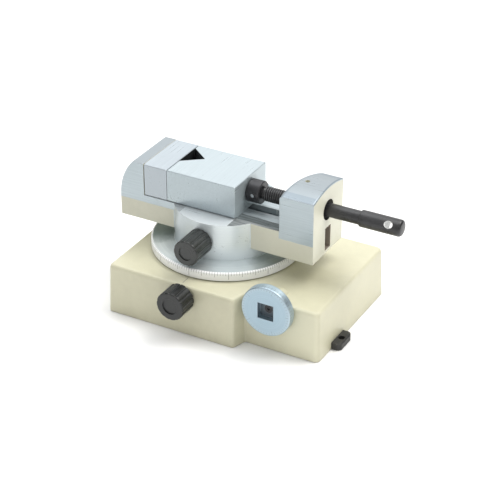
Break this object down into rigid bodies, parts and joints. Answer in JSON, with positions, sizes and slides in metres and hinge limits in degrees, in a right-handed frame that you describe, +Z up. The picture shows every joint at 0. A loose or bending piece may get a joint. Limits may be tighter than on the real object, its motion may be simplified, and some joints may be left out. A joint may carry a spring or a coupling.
{
  "type": "rotary table with machine vise",
  "caption": "Small rotary table with a round flange on a cast base, worm dial, clamping knobs and a swivelling machine vise with a screw-driven V-grooved jaw.",
  "frame": {"origin": "on the underside of the base, under the axis of the round table", "axes": "+Z up along the table axis, +X along the vise screw towards its head, -Y towards the dial and the knobs"},
  "size_m": [0.1917, 0.1272, 0.0945],
  "materials": {
    "base_paint": "cream enamel on cast iron",
    "vise_paint": "cream enamel on cast iron, machined where it slides",
    "zinc_plate": "zinc plated sheet",
    "black_screws": "black oxide steel",
    "bronze": "turned bronze",
    "steel": "turned steel",
    "black_steel": "black oxide steel",
    "ground_steel": "ground steel",
    "black_oxide": "black oxide steel",
    "dial_alloy": "satin turned alloy",
    "black_plastic": "fluted phenolic"
  },
  "bodies": {
    "base": {"base_casting": "base_paint", "bottom_cover": "zinc_plate", "cover_screws": "black_screws", "thrust_washer": "bronze", "dial_bush": "bronze", "worm_front_bush": "bronze", "worm_rear_bush": "bronze", "idler_stud": "steel", "hold_down_lug_right": "black_steel", "hold_down_lug_left": "black_steel", "lug_screws": "black_screws", "table_lock_insert": "black_steel"},
    "table": {"rotary_table": "ground_steel", "worm_wheel": "bronze", "wheel_screws": "black_screws", "wheel_dowels": "steel", "swivel_post": "steel", "post_bolt": "black_screws"},
    "vise": {"vise_body": "vise_paint", "fixed_jaw": "ground_steel", "fixed_jaw_screws": "black_screws", "screw_nut": "bronze", "nut_grub_screw": "black_screws", "vise_lock_insert": "black_steel"},
    "jaw": {"moving_jaw": "ground_steel", "jaw_key": "steel", "jaw_key_screws": "black_screws", "jaw_retaining_pins": "steel"},
    "screw": {"lead_screw": "black_oxide", "screw_collar": "black_oxide", "collar_pin": "steel"},
    "dial_assembly": {"dial": "dial_alloy", "dial_shaft": "steel", "dial_screw": "black_screws", "dial_pinion": "steel"},
    "idler": {"idler_gear": "steel"},
    "worm": {"worm_shaft": "steel", "worm_spur_gear": "steel"},
    "table_lock_carrier": {"table_lock_pad": "bronze"},
    "table_lock": {"table_lock_knob": "black_plastic", "table_lock_screw": "steel"},
    "vise_lock_carrier": {"vise_lock_pad": "bronze"},
    "vise_lock": {"vise_lock_knob": "black_plastic", "vise_lock_screw": "steel"}
  },
  "joints": [
    {"name": "table_turn", "type": "hinge", "parent": "base", "child": "table", "pos_m": [0, 0, 0.0379], "axis": [0, 0, 1], "continuous": true},
    {"name": "worm_turn", "type": "hinge", "parent": "base", "child": "worm", "pos_m": [0.0435, 0, 0.01191], "axis": [0, 1, 0], "continuous": true},
    {"name": "idler_turn", "type": "hinge", "parent": "base", "child": "idler", "pos_m": [0.05272, -0.0412, 0.0231], "axis": [0, 1, 0], "continuous": true},
    {"name": "dial_turn", "type": "hinge", "parent": "base", "child": "dial_assembly", "pos_m": [0.0594, -0.05, 0.0312], "axis": [0, 1, 0], "continuous": true},
    {"name": "vise_swivel", "type": "hinge", "parent": "table", "child": "vise", "pos_m": [0, 0, 0.05], "axis": [0, 0, 1], "continuous": true},
    {"name": "jaw_slide", "type": "slide", "parent": "vise", "child": "jaw", "axis": [1, 0, 0], "range_m": [0, 0.021]},
    {"name": "screw_turn", "type": "hinge", "parent": "jaw", "child": "screw", "pos_m": [0.06, 0, 0.0783], "axis": [1, 0, 0], "range_deg": [-5, 5050]},
    {"name": "table_lock_travel", "type": "slide", "parent": "base", "child": "table_lock_carrier", "axis": [0, -1, 0], "range_m": [0, 0.001]},
    {"name": "table_lock_turn", "type": "hinge", "parent": "table_lock_carrier", "child": "table_lock", "pos_m": [0.0012, -0.069, 0.0269], "axis": [0, 1, 0], "range_deg": [-2, 363]},
    {"name": "vise_lock_travel", "type": "slide", "parent": "vise", "child": "vise_lock_carrier", "axis": [0, -1, 0], "range_m": [0, 0.001]},
    {"name": "vise_lock_turn", "type": "hinge", "parent": "vise_lock_carrier", "child": "vise_lock", "pos_m": [0, -0.043, 0.0534], "axis": [0, 1, 0], "range_deg": [-2, 363]}
  ],
  "couplings": [
    {"joint": "worm_turn", "follows": "table_turn", "ratio": -36},
    {"joint": "dial_turn", "follows": "table_turn", "ratio": -72},
    {"joint": "idler_turn", "follows": "table_turn", "ratio": 44.308},
    {"joint": "screw_turn", "follows": "jaw_slide", "rad_per_m": 4188.8},
    {"joint": "table_lock_turn", "follows": "table_lock_travel", "rad_per_m": 6283.2},
    {"joint": "vise_lock_turn", "follows": "vise_lock_travel", "rad_per_m": 6283.2}
  ]
}
